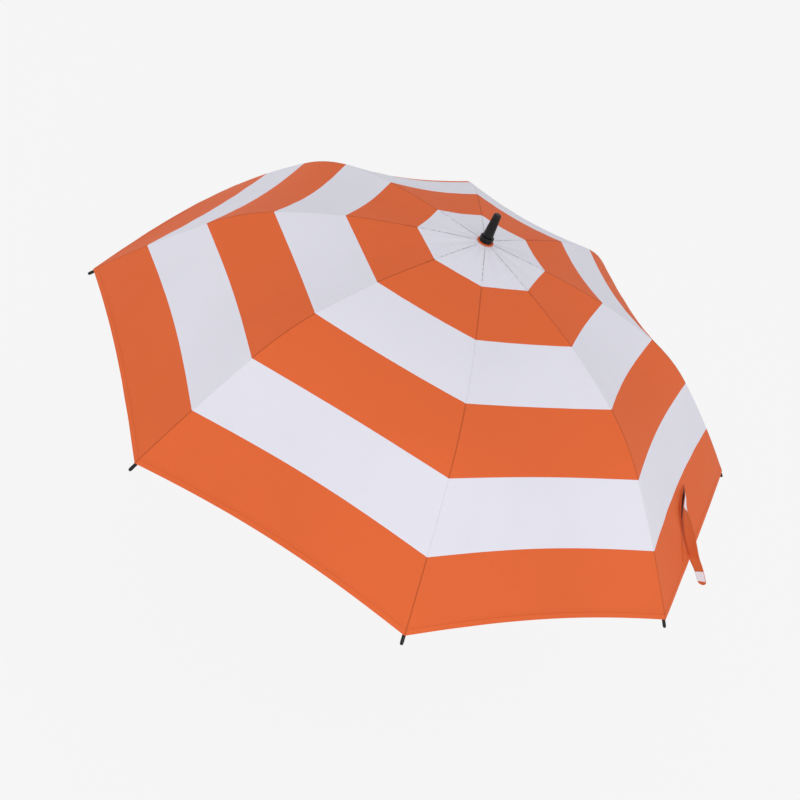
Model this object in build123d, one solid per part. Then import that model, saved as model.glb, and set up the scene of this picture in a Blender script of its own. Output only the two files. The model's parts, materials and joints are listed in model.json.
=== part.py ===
from build123d import *
import math
import os

# A golf umbrella, open, with its shaft upright. The origin is the centre of the handle's flat end,
# and +Z runs up the shaft to the ferrule. Lengths are in millimetres and angles in degrees.
# Rib 1 lies along +X and the others follow counter-clockwise.

rib_count = 8
sector = 360 / rib_count
crown_height = 915           # top of the canopy at its centre, above the handle's end

# Canopy: its upper surface over a rib and over the middle of a panel, as arcs that join smoothly,
# each with its length and the angle by which it turns downwards.
rib_start_slope = 6.9
rib_arcs = [(200, 3.8), (170, 10.9), (130, 19.3), (250, 7.2)]
panel_start_slope = 7.5
panel_arcs = [(200, 6.9), (170, 14.4), (130, 15.1), (187, -4.1)]
fabric_thickness = 1.0
fabric_hole_share = 0.012    # the hole round the shaft, as a share of the way from centre to hem
canopy_stations = 14
panel_gap = 0.3              # from each half panel to the middle of its panel

# Ribs: a rod under the fabric, in two lengths that meet at the point where it flexes most.
rod_radius = 1.8
rod_depth = 4.2              # rod's centre line below the fabric's upper surface
rod_start = 22
flex_at = 400                # distances along the rib
flex_gap = 2.1
clip_at = 382
clip_drop = 7
clip_length = 12
clip_radius = 2.8
rod_end = 755
tip_start = 738
tip_end = 765
tip_radius = 3.0
tip_rounding = 2.0
socket_radius = 2.6
socket_length = 15

# Hubs: the crown and the runner carry the rib and stretcher eyes on rings of wire.
pivot_radius = 12.5
crown_pivot_drop = 7.5
hub_radius = 15.5
hub_near_face = 4
hub_far_face = 6
slot_width = 2.8
slot_floor_radius = 9.4
wire_radius = 0.6
wire_channel_radius = 0.62
eye_thickness = 2.4
eye_radius = 2.6
eye_hole_radius = 0.8
eye_to_rod = 8.5

# Shaft and ferrule
shaft_radius = 7.0
shaft_bore_radius = 4.5
shaft_start = 22
shaft_above_crown = 25
washer_radius = 14.6
washer_thickness = 1.2
washer_lift = -0.4
collar_height = 10.3
collar_lower_radius = 11.2
collar_groove_radius = 10.5
collar_upper_radius = 11.9
ferrule_base_radius = 8.5
ferrule_end_radius = 5.6
ferrule_height = 57.5
ferrule_edge = 1.6

# Clip pin and stretchers
pin_radius = 0.8
pin_hole_radius = 0.9
cheek_thickness = 1.2
cheek_gap = 2.8
stretcher_eye_radius = 2.4

# Runner and its catches
fold_angle = 74.5            # turn of each rib from open to closed
runner_bore_radius = 8.2
catch_radius = 7.9
catch_height = 4
catch_gap = 0.3
latch_top = -14              # latch plate, from the runner's pivot ring
latch_bottom = -18
latch_half_width = 10.2
latch_front = -13
latch_back_radius = 11.6
latch_hole_half_width = 8.3
latch_hole_front = -9.4
latch_nose = 7.25
button_half_width = 6.5
button_height = 10
button_face = -19.5
button_back = -13.6
housing_radius = 16.5
housing_top = -9
housing_bottom = -24
cavity_radius = 14.4
runner_bottom = -38
waist_radius = 11.5
sleeve_radius = 10.8
rim_radius = 12.5
rim_height = 3.5
play = 0.3                   # round the latch plate and the button
window_front = -12.2
button_edge = 1.5
stem_depth = 2
leaf_half_length = 6
leaf_bow_y = 11.95
leaf_end_y = 12.75
leaf_thickness = 0.35
leaf_height = 3.4

# Handle
grip_radius = 15.5
grip_start = 8
grip_end = 124
grip_edge = 1.5
core_radius = 11.5
cap_radius = 15
cap_edge = 2.0
handle_collar_radius = 14
handle_collar_step = 4
handle_top = 138

# Closing strap, sewn into the panel between the last rib and the first
strap_width = 22
strap_thickness = 1.2
strap_root = Vector(492, -243, crown_height - 254.5)
strap_tip = Vector(566, -320, crown_height - 335.5)
strap_face = Vector(0.61, -0.31, 0.73)
tab_start = Vector(497, -208, crown_height - 247)
tab_end = Vector(505, -184, crown_height - 246.5)
patch_length = 16
patch_thickness = 0.8
patch_inset = 8
tab_patch_inset = 2


def along_arcs(start_slope, arcs, distance, depth=0.0):
    """Radius, height and slope at a distance along a chain of arcs, depth below its line."""
    radius = 0.0
    height = 0.0
    slope = math.radians(start_slope)
    left = distance
    for number, (length, turn) in enumerate(arcs):
        last = number == len(arcs) - 1
        step = left if last else min(length, left)
        bend = length / math.radians(turn)
        new_slope = slope + step / bend
        radius += bend * (math.sin(new_slope) - math.sin(slope))
        height += bend * (math.cos(new_slope) - math.cos(slope))
        slope = new_slope
        left -= step
        if left <= 0:
            break
    radius -= depth * math.sin(slope)
    height -= depth * math.cos(slope)
    return radius, height, math.degrees(slope)


def rod_point(distance, extra_depth=0.0):
    """Point of the rod's centre line in the X-Z plane, or one that lies further below the fabric."""
    radius, height, _ = along_arcs(rib_start_slope, rib_arcs, distance, rod_depth + extra_depth)
    return Vector(radius, 0, crown_height + height)


def rod_direction(distance):
    slope = math.radians(along_arcs(rib_start_slope, rib_arcs, distance)[2])
    return Vector(math.cos(slope), 0, -math.sin(slope))


def disc(centre, radius, thickness):
    """Round plate with its axis along Y."""
    outline = Pos(centre.X, centre.Z) * Circle(radius)
    return extrude(Plane.XZ * outline, amount=thickness / 2, both=True)


def bar(start, end, height, thickness):
    """Flat bar between two points of the X-Z plane, centred on it."""
    middle = (start + end) / 2
    run = end - start
    angle = math.degrees(math.atan2(run.Z, run.X))
    outline = Pos(middle.X, middle.Z) * Rot(0, 0, angle) * Rectangle(run.length, height)
    return extrude(Plane.XZ * outline, amount=thickness / 2, both=True)


def straight_rod(start, end, radius):
    run = end - start
    return extrude(Plane(origin=start, z_dir=run) * Circle(radius), amount=run.length)


def curved_rod(start, end):
    """The rib's rod between two distances along it, swept along tangent arcs."""
    breaks = [start]
    travelled = 0
    for length, _ in rib_arcs[:-1]:
        travelled += length
        if start < travelled < end:
            breaks.append(travelled)
    breaks.append(end)
    arcs = []
    for first, second in zip(breaks, breaks[1:]):
        middle = (first + second) / 2
        arcs.append(ThreePointArc(rod_point(first), rod_point(middle), rod_point(second)))
    section = Plane(origin=rod_point(start), z_dir=rod_direction(start)) * Circle(rod_radius)
    return sweep(section, path=Wire(arcs))


def turned(profile):
    """Solid of revolution about Z from (radius, height) points."""
    face = make_face(Polyline(*[(r, 0, z) for r, z in profile], close=True).edges())
    return revolve(face, axis=Axis.Z)


def tube(outer_radius, inner_radius, bottom, top):
    return Pos(0, 0, bottom) * extrude(Circle(outer_radius) - Circle(inner_radius), amount=top - bottom)


def slots(bottom, top):
    """The radial cuts in a hub, one for each rib."""
    length = hub_radius - slot_floor_radius + 2
    middle = slot_floor_radius + length / 2
    cutter = Pos(middle, 0, (bottom + top) / 2) * Box(length, slot_width, top - bottom)
    return [Rot(0, 0, k * sector) * cutter for k in range(rib_count)]


crown_pivot = Vector(pivot_radius, 0, crown_height - crown_pivot_drop)
clip_pivot = rod_point(clip_at, clip_drop)
runner_pivot = Vector(pivot_radius, 0, 2 * clip_pivot.Z - crown_pivot.Z)
link_length = (clip_pivot - crown_pivot).length
open_angle = math.degrees(math.acos((crown_pivot.Z - clip_pivot.Z) / link_length))
closed_drop = 2 * link_length * math.cos(math.radians(open_angle - fold_angle))
runner_travel = closed_drop - (crown_pivot.Z - runner_pivot.Z)


def make_crown():
    bottom = crown_pivot.Z - hub_far_face
    top = crown_pivot.Z + hub_near_face
    hub = tube(hub_radius, shaft_radius, bottom, top)
    hub -= slots(bottom - 1, top + 1)
    hub -= Pos(0, 0, crown_pivot.Z) * Torus(pivot_radius, wire_channel_radius)
    return hub


def make_wire(height):
    return Pos(0, 0, height) * Torus(pivot_radius, wire_radius)


def make_ferrule():
    bottom = crown_height + washer_lift + washer_thickness + collar_height
    top = crown_height + ferrule_height
    spike = turned([
        (0, bottom), (ferrule_base_radius, bottom), (ferrule_base_radius, bottom + 2),
        (ferrule_end_radius, top), (0, top),
    ])
    spike = fillet(spike.edges().sort_by(Axis.Z)[-1], ferrule_edge)
    socket_depth = crown_height + shaft_above_crown - bottom
    return spike - Pos(0, 0, bottom) * Cylinder(shaft_radius, 2 * socket_depth)


def make_ferrule_collar():
    """Two rings with a groove between them."""
    base = crown_height + washer_lift + washer_thickness
    lower = collar_lower_radius
    groove = collar_groove_radius
    upper = collar_upper_radius
    profile = [
        (shaft_radius, 0), (lower - 0.4, 0), (lower, 0.6), (lower, 4.4),
        (groove, 4.8), (groove, 5.4), (upper, 6.0), (upper, 9.3),
        (upper - 0.9, collar_height), (shaft_radius, collar_height),
    ]
    return turned([(radius, base + height) for radius, height in profile])


def make_rib():
    """Root fitting, rod, stretcher clip and the clip's pin, as separate solids."""
    rod = curved_rod(rod_start, flex_at - flex_gap)
    socket_start = rod_point(rod_start - 1)
    socket_end = rod_point(rod_start - 1 + socket_length)
    fitting = disc(crown_pivot, eye_radius, eye_thickness)
    fitting += bar(crown_pivot, rod_point(rod_start), 2 * eye_radius - 1, eye_thickness)
    fitting += straight_rod(socket_start, socket_end, socket_radius)
    fitting -= disc(crown_pivot, eye_hole_radius, 2 * eye_thickness)
    fitting -= rod
    clip_start = rod_point(clip_at - clip_length / 2)
    clip_end = rod_point(clip_at + clip_length / 2)
    clip = straight_rod(clip_start, clip_end, clip_radius)
    cheek = disc(clip_pivot, stretcher_eye_radius, cheek_thickness)
    cheek += bar(clip_pivot, rod_point(clip_at, 1.0), 2 * stretcher_eye_radius, cheek_thickness)
    offset = (cheek_gap + cheek_thickness) / 2
    clip += Pos(0, offset, 0) * cheek
    clip += Pos(0, -offset, 0) * cheek
    clip -= disc(clip_pivot, pin_radius + 0.01, 20)
    clip -= rod
    pin = disc(clip_pivot, pin_radius, cheek_gap + 2 * cheek_thickness + 0.6)
    return [fitting, rod, clip, pin]


def make_outer_rib():
    rod = curved_rod(flex_at, rod_end)
    centre = rod_point(flex_at)
    return [rod + Pos(centre.X, 0, centre.Z) * Sphere(rod_radius)]


def make_tip():
    """Cap over the rod's end, with a round nose and a waist where the fabric is sewn on."""
    cap = straight_rod(rod_point(tip_start), rod_point(tip_end), tip_radius)
    cap = fillet(cap.edges().sort_by(Axis.X)[-1], tip_rounding)
    return [cap - curved_rod(tip_start - 2, rod_end)]


def make_stretcher():
    """Rod with a flat eye at each end."""
    run = (clip_pivot - runner_pivot).normalized()
    rod = straight_rod(runner_pivot + run * eye_to_rod, clip_pivot - run * eye_to_rod, rod_radius)
    overlap = 6
    link = rod
    for pivot, way in [(runner_pivot, 1), (clip_pivot, -1)]:
        link += disc(pivot, stretcher_eye_radius, eye_thickness)
        plate_end = pivot + run * way * (eye_to_rod + overlap)
        link += bar(pivot, plate_end, 2 * stretcher_eye_radius - 1.2, eye_thickness)
    link -= disc(runner_pivot, eye_hole_radius, 2 * eye_thickness)
    link -= disc(clip_pivot, pin_hole_radius, 2 * eye_thickness)
    return [link]


def canopy_section(share):
    """Upright slice through half a panel, from over the rib to the middle of the panel."""
    rib_length = sum(length for length, _ in rib_arcs)
    panel_length = sum(length for length, _ in panel_arcs)
    rib_radius, rib_z, _ = along_arcs(rib_start_slope, rib_arcs, share * rib_length)
    mid_radius, mid_z, _ = along_arcs(panel_start_slope, panel_arcs, share * panel_length)
    angle = math.radians(sector / 2)
    over_rib = Vector(rib_radius, 0, crown_height + rib_z)
    over_middle = Vector(
        mid_radius * math.cos(angle) + panel_gap * math.sin(angle),
        mid_radius * math.sin(angle) - panel_gap * math.cos(angle),
        crown_height + mid_z,
    )
    sag = (mid_z - rib_z) / 2
    control = (over_rib + over_middle) / 2 + Vector(0, 0, sag)
    down = Vector(0, 0, -fabric_thickness)
    edges = [
        Bezier(over_rib, control, over_middle),
        Line(over_middle, over_middle + down),
        Bezier(over_middle + down, control + down, over_rib + down),
        Line(over_rib + down, over_rib),
    ]
    return make_face(edges)


def make_canopy_gore():
    """The two half panels that one rib carries, joined along the rib."""
    shares = [fabric_hole_share]
    for station in range(1, canopy_stations + 1):
        shares.append(station / canopy_stations)
    half = loft([canopy_section(share) for share in shares])
    return [half + mirror(half, about=Plane.XZ)]


def latch_height():
    """Middle of the latch plate's thickness."""
    return runner_pivot.Z + (latch_top + latch_bottom) / 2


def make_runner():
    """Hub, waist, housing for the button's latch plate, and sleeve, bored for the shaft."""
    z = runner_pivot.Z
    waist_bottom = housing_top + 1.5
    profile = [
        (runner_bore_radius, hub_far_face), (hub_radius, hub_far_face), (hub_radius, -hub_near_face),
        (waist_radius, -hub_near_face - 1.5), (waist_radius, waist_bottom),
        (housing_radius - 1, housing_top), (housing_radius, housing_top - 1),
        (housing_radius, housing_bottom + 1), (housing_radius - 1, housing_bottom),
        (waist_radius, housing_bottom - 2), (sleeve_radius, runner_bottom + rim_height + 1.5),
        (rim_radius, runner_bottom + rim_height), (rim_radius, runner_bottom),
        (runner_bore_radius, runner_bottom),
    ]
    body = turned([(radius, z + height) for radius, height in profile])
    body -= slots(z - hub_near_face - 2, z + hub_far_face + 1)
    body -= Pos(0, 0, z) * Torus(pivot_radius, wire_channel_radius)
    height = latch_top - latch_bottom + 2 * play
    width = 2 * (latch_half_width + play)
    front = Pos(0, -housing_radius, latch_height()) * Box(width, 2 * housing_radius, height)
    back = Pos(0, 0, latch_height()) * Cylinder(cavity_radius, height)
    back &= Pos(0, cavity_radius, latch_height()) * Box(width, 2 * cavity_radius, height)
    window_depth = 10
    window = Pos(0, window_front - window_depth / 2, latch_height()) * Box(
        2 * (button_half_width + play), window_depth, button_height + 2 * play
    )
    return body - front - back - window


def make_button():
    """Thumb pad on a latch plate that goes round the shaft, with its nose on the far side."""
    thickness = latch_top - latch_bottom
    width = 2 * latch_half_width
    outline = Pos(0, latch_front / 2) * Rectangle(width, -latch_front)
    back = Circle(latch_back_radius) & Pos(0, latch_back_radius) * Rectangle(width, 2 * latch_back_radius)
    hole_length = latch_nose - latch_hole_front
    hole = Pos(0, (latch_nose + latch_hole_front) / 2) * Rectangle(2 * latch_hole_half_width, hole_length)
    plate = Pos(0, 0, runner_pivot.Z + latch_bottom) * extrude(outline + back - hole, amount=thickness)
    pad_middle = (button_face + button_back) / 2
    pad = Pos(0, pad_middle, latch_height()) * Box(
        2 * button_half_width, button_back - button_face, button_height
    )
    pad = fillet(pad.edges().group_by(Axis.Y)[0], button_edge)
    stem = Pos(0, button_back, latch_height()) * Box(2 * button_half_width, stem_depth, thickness)
    return plate + pad + stem


def make_button_spring():
    """Bowed leaf between the latch plate and the back wall of its cavity."""
    half = leaf_thickness / 2
    length = leaf_half_length
    near = [(-length, leaf_end_y - half), (0, leaf_bow_y - half), (length, leaf_end_y - half)]
    far = [(length, leaf_end_y + half), (0, leaf_bow_y + half), (-length, leaf_end_y + half)]
    inner = ThreePointArc(*near)
    outer = ThreePointArc(*far)
    ends = [Line(inner @ 1, outer @ 0), Line(outer @ 1, inner @ 0)]
    leaf = extrude(make_face([inner, outer] + ends), amount=leaf_height)
    return Pos(0, 0, latch_height() - leaf_height / 2) * leaf


def make_catch(bottom):
    return tube(catch_radius, shaft_radius, bottom, bottom + catch_height)


def make_handle_grip():
    grip = tube(grip_radius, core_radius, grip_start, grip_end)
    rim = grip.edges().filter_by(GeomType.CIRCLE).sort_by(SortBy.RADIUS)[-2:]
    return fillet(rim, grip_edge)


def make_handle_core():
    """Stiff sleeve that joins the grip to the shaft; the shaft stands on its floor."""
    floor = shaft_start - grip_start
    core = Pos(0, 0, grip_start) * extrude(Circle(core_radius), amount=grip_end - grip_start)
    bore = Pos(0, 0, grip_start + floor) * extrude(Circle(shaft_radius), amount=grip_end)
    return core - bore


def make_handle_end_cap():
    cap = extrude(Circle(cap_radius), amount=grip_start)
    return fillet(cap.edges().sort_by(Axis.Z)[0], cap_edge)


def make_handle_collar():
    """Cone over the grip's upper end, down to the shaft."""
    radius = handle_collar_radius
    return turned([
        (shaft_radius, grip_end), (radius, grip_end), (radius, grip_end + handle_collar_step),
        (radius - 0.8, grip_end + handle_collar_step + 1), (shaft_radius + 3, handle_top - 1.5),
        (shaft_radius + 2, handle_top), (shaft_radius, handle_top),
    ])


def strip(start, end, width, thickness, lift=0.0):
    """Flat strip between two points that lies on its side towards the strap's face."""
    run = end - start
    side = strap_face.cross(run).normalized()
    facing = run.cross(side).normalized()
    base = Plane(origin=(start + end) / 2 + facing * lift, x_dir=run, z_dir=facing)
    return extrude(base * Rectangle(run.length, width), amount=thickness)


def make_strap():
    long_end = strip(strap_root, strap_tip, strap_width, strap_thickness)
    short_end = strip(tab_start, tab_end, strap_width, strap_thickness)
    return [long_end, short_end]


def make_patch(start, end, inset, length):
    """Hook or loop patch on a strip, its far edge the given inset from the strip's end."""
    way = (end - start).normalized()
    far = end - way * inset
    return strip(far - way * length, far, strap_width - 4, patch_thickness, strap_thickness)


def save(name, shape, turn=0.0):
    """Write one node; a list of solids becomes one compound."""
    solids = []
    for item in shape if isinstance(shape, list) else [shape]:
        solids.extend(item.solids())
    whole = solids[0] if len(solids) == 1 else Compound(children=solids)
    placed = Rot(0, 0, turn) * whole
    placed.label = name
    export_step(placed, f"parts/{name}.step")


os.makedirs("parts", exist_ok=True)

save("shaft", tube(shaft_radius, shaft_bore_radius, shaft_start, crown_height + shaft_above_crown))
save("crown", make_crown())
save("crown_wire", make_wire(crown_pivot.Z))
save("crown_washer", tube(
    washer_radius, shaft_radius, crown_height + washer_lift, crown_height + washer_lift + washer_thickness
))
save("ferrule_collar", make_ferrule_collar())
save("ferrule", make_ferrule())
open_catch_top = runner_pivot.Z + latch_bottom - catch_gap
save("open_catch", make_catch(open_catch_top - catch_height))
save("closed_catch", make_catch(runner_pivot.Z - runner_travel + latch_top + catch_gap))
save("handle_core", make_handle_core())
save("handle_grip", make_handle_grip())
save("handle_end_cap", make_handle_end_cap())
save("handle_collar", make_handle_collar())
save("runner", make_runner())
save("runner_wire", make_wire(runner_pivot.Z))
save("runner_button", make_button())
save("button_spring", make_button_spring())
save("closure_strap", make_strap())
save("strap_hook_patch", make_patch(strap_root, strap_tip, patch_inset, patch_length))
save("strap_loop_patch", make_patch(tab_start, tab_end, tab_patch_inset, patch_length))

repeated = {
    "rib": make_rib(),
    "rib_outer": make_outer_rib(),
    "rib_tip": make_tip(),
    "stretcher": make_stretcher(),
    "canopy_gore": make_canopy_gore(),
}
for name, shape in repeated.items():
    for k in range(rib_count):
        save(f"{name}_{k + 1}", shape, k * sector)

flex_point = rod_point(flex_at)
print("crown pivot", crown_pivot)
print("clip pivot", clip_pivot)
print("flex point", flex_point)
print("runner pivot", runner_pivot, "travel", round(runner_travel, 2))
print("link", round(link_length, 2), "open angle", round(open_angle, 2))
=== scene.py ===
import itertools
import json
import math

import bpy
import numpy as np
from mathutils import Matrix, Vector


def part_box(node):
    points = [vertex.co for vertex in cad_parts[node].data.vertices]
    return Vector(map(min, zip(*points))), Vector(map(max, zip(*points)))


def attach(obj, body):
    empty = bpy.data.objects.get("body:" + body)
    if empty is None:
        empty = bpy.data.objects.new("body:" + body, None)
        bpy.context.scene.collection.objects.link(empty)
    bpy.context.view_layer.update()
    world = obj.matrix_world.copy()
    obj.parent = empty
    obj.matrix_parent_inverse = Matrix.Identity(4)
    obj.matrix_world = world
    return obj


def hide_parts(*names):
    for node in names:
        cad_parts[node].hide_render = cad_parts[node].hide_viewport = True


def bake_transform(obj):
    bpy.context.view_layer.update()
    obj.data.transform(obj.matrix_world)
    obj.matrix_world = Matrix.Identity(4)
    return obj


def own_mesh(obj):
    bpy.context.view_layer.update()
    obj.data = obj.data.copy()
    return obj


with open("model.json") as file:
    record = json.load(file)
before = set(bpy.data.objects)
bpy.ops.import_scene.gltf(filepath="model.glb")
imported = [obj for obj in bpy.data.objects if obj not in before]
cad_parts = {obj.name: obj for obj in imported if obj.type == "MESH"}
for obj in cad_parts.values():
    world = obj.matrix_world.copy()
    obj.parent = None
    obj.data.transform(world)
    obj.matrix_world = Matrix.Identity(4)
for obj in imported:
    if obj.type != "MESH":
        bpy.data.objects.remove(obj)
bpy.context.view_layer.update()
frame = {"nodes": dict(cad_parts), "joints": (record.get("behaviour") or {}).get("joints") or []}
scene = bpy.context.scene
joints = {joint["name"]: joint for joint in frame["joints"]}

# Lengths are in metres and angles in radians unless a name says degrees.
RIBS = 8
SECTOR = 2 * math.pi / RIBS
HALF_SECTOR = SECTOR / 2
ROOT = "shaft_and_handle"

CROWN_PIVOT = Vector(joints["rib_1_fold"]["pos_m"])
CLIP_PIVOT = Vector(joints["stretcher_1_fold"]["pos_m"])
FLEX_POINT = Vector(joints["rib_1_flex"]["pos_m"])
FOLD_LIMIT = math.radians(joints["rib_1_fold"]["range_deg"][1])
FLEX_LIMIT = math.radians(joints["rib_1_flex"]["range_deg"][0])
RUNNER_PIVOT = Vector(joints["runner_pivot"]["pos_m"])
CROWN_Z = CROWN_PIVOT.z + 0.0075

# The canopy's profile over a rib and over the middle of a panel: arcs as (length, degrees turned).
RIB_ARCS = [(0.2, 3.8), (0.17, 10.9), (0.13, 19.3), (0.25, 7.2)]
RIB_START_DEGREES = 6.9
PANEL_ARCS = [(0.2, 6.9), (0.17, 14.4), (0.13, 15.1), (0.187, -4.1)]
PANEL_START_DEGREES = 7.5
RIB_LENGTH = sum(length for length, _ in RIB_ARCS)
PANEL_LENGTH = sum(length for length, _ in PANEL_ARCS)
FABRIC_HOLE = 0.012          # share of the way from the centre to the hem
STRIPE_EDGES = [0.1652, 0.3357, 0.5047, 0.6731, 0.8383]
CLOTH = 0.00035
HEM_WIDTH = 0.012
SEAM_ALLOWANCE = 0.006

ROD_RADIUS = 0.0018
ROD_DEPTH = 0.0042
FLEX_AT = 0.4
CLIP_AT = 0.382

# Camera, from the crown
CAMERA_FROM_CROWN = Vector((-0.3952, -1.7777, 0.9621))
CAMERA_PITCH_DEGREES = 53.24
CAMERA_ROLL_DEGREES = 24.74
CAMERA_PAN_DEGREES = -11.91
CAMERA_LENS_MM = 51.63


def add_camera():
    data = bpy.data.cameras.new("camera")
    data.lens = CAMERA_LENS_MM
    data.sensor_width = 36
    data.clip_start = 0.05
    data.clip_end = 60
    camera = bpy.data.objects.new("camera", data)
    scene.collection.objects.link(camera)
    pan = Matrix.Rotation(math.radians(CAMERA_PAN_DEGREES), 4, "Z")
    pitch = Matrix.Rotation(math.radians(CAMERA_PITCH_DEGREES), 4, "X")
    roll = Matrix.Rotation(math.radians(CAMERA_ROLL_DEGREES), 4, "Z")
    place = Matrix.Translation(Vector((0, 0, CROWN_Z)) + CAMERA_FROM_CROWN)
    camera.matrix_world = place @ pan @ pitch @ roll
    scene.camera = camera


add_camera()


# ---------------------------------------------------------------- materials


class Shader:
    """A small wrapper that makes one procedural material with a Principled shader."""

    def __init__(self, name, colour, roughness, **constants):
        self.material = bpy.data.materials.new(name)
        self.material.use_nodes = True
        self.tree = self.material.node_tree
        self.main = self.tree.nodes["Principled BSDF"]
        self.main.inputs["Base Color"].default_value = (*colour, 1)
        self.main.inputs["Roughness"].default_value = roughness
        for key, value in constants.items():
            self.main.inputs[key.replace("_", " ")].default_value = value
        self.colour = colour
        self.roughness = roughness

    def node(self, kind, **settings):
        made = self.tree.nodes.new(kind)
        for key, value in settings.items():
            if key in made.inputs:
                made.inputs[key].default_value = value
            else:
                setattr(made, key, value)
        return made

    def link(self, source, target):
        self.tree.links.new(source, target)

    def position(self, scale=(1, 1, 1), from_uv=False):
        """Coordinates in metres, from the object or from the UV map, stretched by scale."""
        coordinates = self.node("ShaderNodeTexCoord")
        mapping = self.node("ShaderNodeMapping")
        mapping.inputs["Scale"].default_value = scale
        self.link(coordinates.outputs["UV" if from_uv else "Object"], mapping.inputs["Vector"])
        return mapping.outputs["Vector"]

    def noise(self, size, detail=2.0, scale=(1, 1, 1), from_uv=False):
        """Noise whose blotches are about size metres across."""
        made = self.node("ShaderNodeTexNoise", Scale=1 / size, Detail=detail)
        self.link(self.position(scale, from_uv), made.inputs["Vector"])
        return made.outputs["Fac"]

    def vary_colour(self, factor, low, high):
        """Colour runs from low to high times the base colour with the factor."""
        ramp = self.node("ShaderNodeMix", data_type="RGBA")
        ramp.inputs[6].default_value = (*[min(1, c * low) for c in self.colour], 1)
        ramp.inputs[7].default_value = (*[min(1, c * high) for c in self.colour], 1)
        self.link(factor, ramp.inputs[0])
        self.link(ramp.outputs[2], self.main.inputs["Base Color"])
        return ramp.outputs[2]

    def vary_roughness(self, factor, low, high):
        span = self.node("ShaderNodeMapRange")
        span.inputs["To Min"].default_value = low
        span.inputs["To Max"].default_value = high
        self.link(factor, span.inputs["Value"])
        self.link(span.outputs["Result"], self.main.inputs["Roughness"])

    def bump(self, height, depth, strength=1.0):
        """Adds relief of the given depth in metres on top of what there is."""
        made = self.node("ShaderNodeBump", Distance=depth, Strength=strength)
        self.link(height, made.inputs["Height"])
        before = self.main.inputs["Normal"].links
        if before:
            self.link(before[0].from_socket, made.inputs["Normal"])
        self.link(made.outputs["Normal"], self.main.inputs["Normal"])

    def threads(self, pitch):
        """Plain weave: two crossed sine waves over the UV map, in metres."""
        split = self.node("ShaderNodeSeparateXYZ")
        self.link(self.position((2 * math.pi / pitch,) * 3, from_uv=True), split.inputs[0])
        waves = []
        for axis in ("X", "Y"):
            wave = self.node("ShaderNodeMath", operation="SINE")
            self.link(split.outputs[axis], wave.inputs[0])
            waves.append(wave.outputs[0])
        product = self.node("ShaderNodeMath", operation="MULTIPLY")
        self.link(waves[0], product.inputs[0])
        self.link(waves[1], product.inputs[1])
        return product.outputs[0]


def fabric_material(name, colour, weave=0.0006):
    cloth = Shader(name, colour, 0.66, Sheen_Weight=0.02, Sheen_Roughness=0.5, Specular_IOR_Level=0.1)
    blotches = cloth.noise(0.16, 3.0)
    cloth.vary_colour(blotches, 0.965, 1.03)
    slubs = cloth.noise(0.0016, 2.0, scale=(1, 0.15, 1), from_uv=True)
    cloth.vary_roughness(slubs, 0.6, 0.74)
    cloth.bump(cloth.threads(weave), 0.00004)
    cloth.bump(slubs, 0.00005)
    cloth.bump(cloth.noise(0.03, 2.0), 0.0004)
    return cloth.material


ORANGE = (0.755, 0.138, 0.038)
WHITE = (0.770, 0.758, 0.828)

orange = fabric_material("orange_pongee", ORANGE)
white = fabric_material("white_pongee", WHITE)
# The strap's cloth is the orange darkened to 0.8: painted shade for a strap that faces away from the light.
strap_orange_painted_shade = fabric_material("strap_pongee_painted_shade", tuple(c * 0.8 for c in ORANGE))
# Seam colours: the stripe's colour darkened, partly for the thread and partly as painted shade in the seam's groove
# and needle holes. The darker orange also colours the stitches, ties and tip threads.
orange_thread_and_seam_shade = fabric_material("orange_thread_and_seam_shade", tuple(c * 0.7 for c in ORANGE))
white_thread_and_seam_shade = fabric_material("white_thread_and_seam_shade", tuple(c * 0.93 for c in WHITE))


def black_plastic(name, shade, roughness, grain=0.0006, depth=0.00002):
    plastic = Shader(name, (shade,) * 3, roughness, Specular_IOR_Level=0.28)
    plastic.vary_colour(plastic.noise(0.02, 3.0), 0.8, 1.3)
    plastic.vary_roughness(plastic.noise(0.008, 3.0), roughness - 0.08, roughness + 0.1)
    plastic.bump(plastic.noise(grain, 2.0), depth)
    return plastic.material


def fibreglass(name, shade):
    rod = Shader(name, (shade, shade, shade * 1.05), 0.32, Coat_Weight=0.25, Coat_Roughness=0.2)
    rod.vary_colour(rod.noise(0.0008, 2.0, scale=(1, 1, 0.02)), 0.7, 1.5)
    rod.vary_roughness(rod.noise(0.01, 3.0), 0.26, 0.42)
    rod.bump(rod.noise(0.0005, 2.0, scale=(1, 1, 0.03)), 0.00001)
    return rod.material


def steel():
    metal = Shader("spring_steel", (0.62, 0.62, 0.63), 0.28, Metallic=1.0)
    metal.vary_colour(metal.noise(0.004, 3.0), 0.85, 1.1)
    metal.vary_roughness(metal.noise(0.0008, 2.0), 0.2, 0.4)
    metal.bump(metal.noise(0.0002, 2.0), 0.000004)
    return metal.material


def foam():
    eva = Shader("foam_grip", (0.022, 0.022, 0.023), 0.78, Specular_IOR_Level=0.35)
    cells = eva.node("ShaderNodeTexVoronoi", Scale=1 / 0.0011)
    eva.link(eva.position(), cells.inputs["Vector"])
    eva.vary_colour(eva.noise(0.012, 3.0), 0.75, 1.35)
    eva.vary_roughness(eva.noise(0.02, 2.0), 0.68, 0.86)
    eva.bump(cells.outputs["Distance"], 0.00012)
    eva.bump(eva.noise(0.0004, 2.0), 0.00004)
    return eva.material


def hook_and_loop():
    pile = Shader("hook_and_loop", (0.80, 0.72, 0.78), 0.9, Sheen_Weight=0.3)
    fuzz = pile.noise(0.0007, 3.0)
    pile.vary_colour(fuzz, 0.86, 1.1)
    pile.vary_roughness(pile.noise(0.003, 2.0), 0.82, 0.97)
    pile.bump(fuzz, 0.0004)
    return pile.material


def shadowed_cloth():
    """Inside of the slit that the strap comes out of: the cloth's own colour, in deep shade."""
    dark = Shader("painted_slit_shadow", tuple(c * 0.2 for c in ORANGE), 0.85)
    dark.vary_colour(dark.noise(0.006, 2.0), 0.7, 1.4)
    dark.bump(dark.noise(0.0012, 2.0), 0.0001)
    return dark.material


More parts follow.
